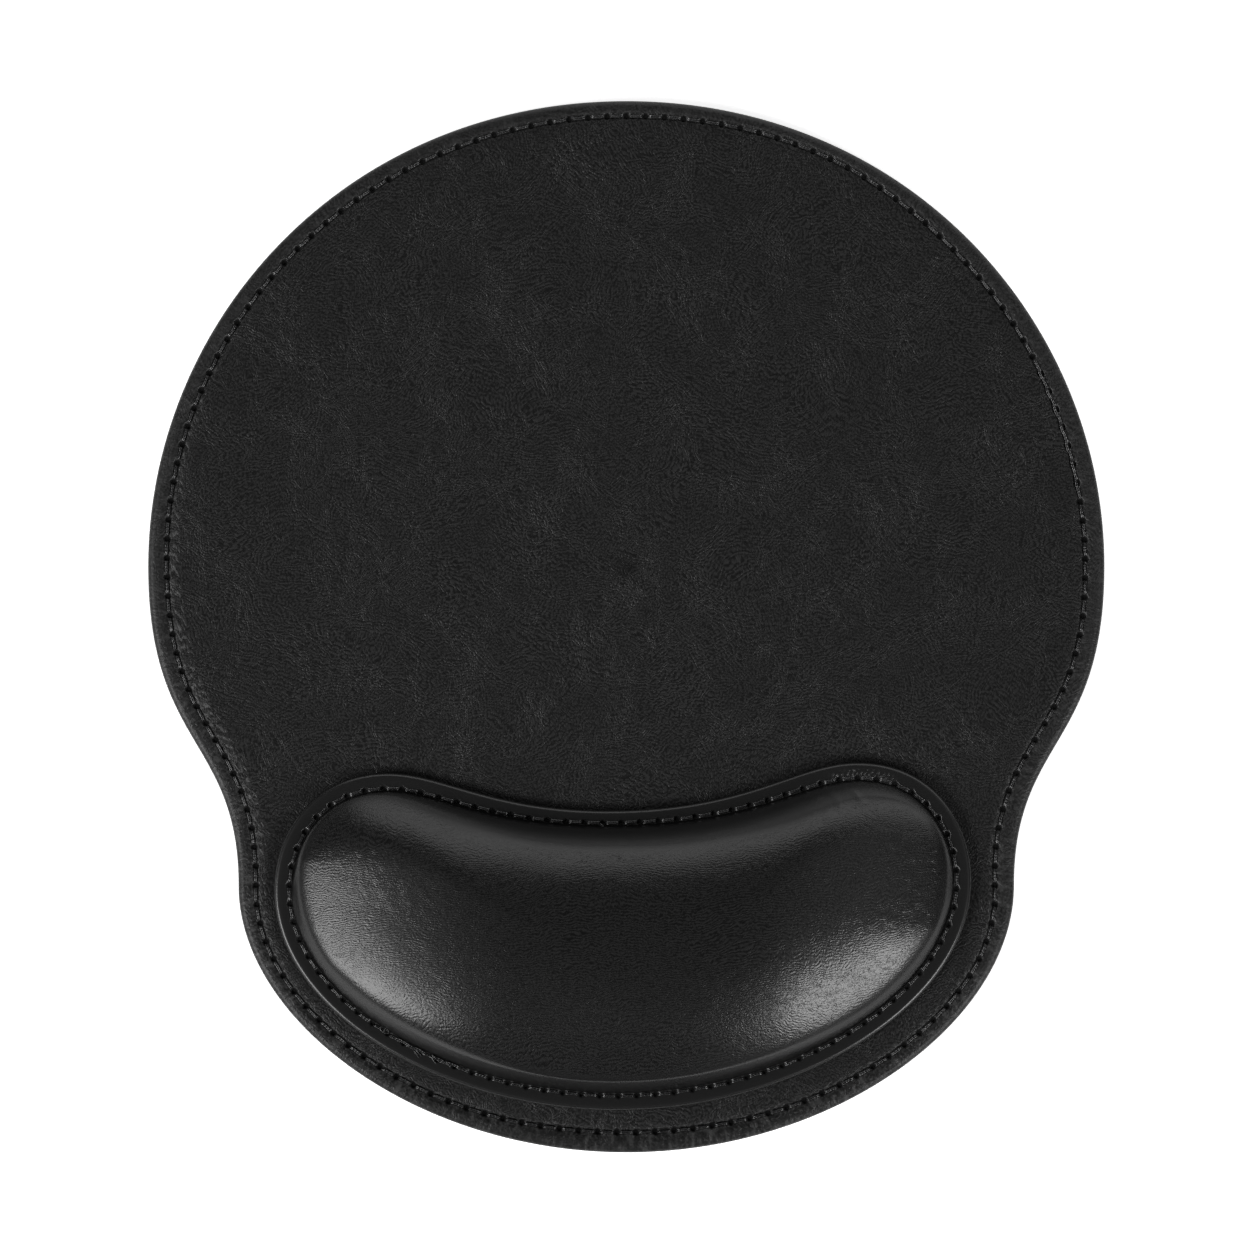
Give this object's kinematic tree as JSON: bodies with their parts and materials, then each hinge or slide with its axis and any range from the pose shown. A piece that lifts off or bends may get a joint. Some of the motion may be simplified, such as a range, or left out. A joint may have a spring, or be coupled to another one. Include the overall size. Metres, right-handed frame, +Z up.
{
  "type": "mouse pad with wrist rest",
  "caption": "Rounded leather mouse pad with a sewn rim, a non-slip base and a raised padded leather wrist rest along its near edge.",
  "frame": {"origin": "on the desk, under the middle of the pad's outline", "axes": "+Z up from the desk, +Y along the pad's length from the user towards the far end, +X to the user's right"},
  "size_m": [0.2274, 0.25, 0.022],
  "materials": {
    "pad_leather": "matte",
    "rest_leather": "satin",
    "thread": "satin",
    "nonslip": "matte",
    "core_foam": "matte",
    "cushion_foam": "matte",
    "board": "matte",
    "adhesive": "satin"
  },
  "bodies": {
    "root": {"nonslip_base": "nonslip", "pad_core": "core_foam", "pad_cover": "pad_leather", "pad_needle_thread": "thread", "pad_bobbin_thread": "thread", "rest_adhesive_sheet": "adhesive", "rest_board": "board", "rest_foam": "cushion_foam", "rest_cover": "rest_leather", "rest_needle_thread": "thread", "rest_bobbin_thread": "thread"}
  },
  "joints": []
}
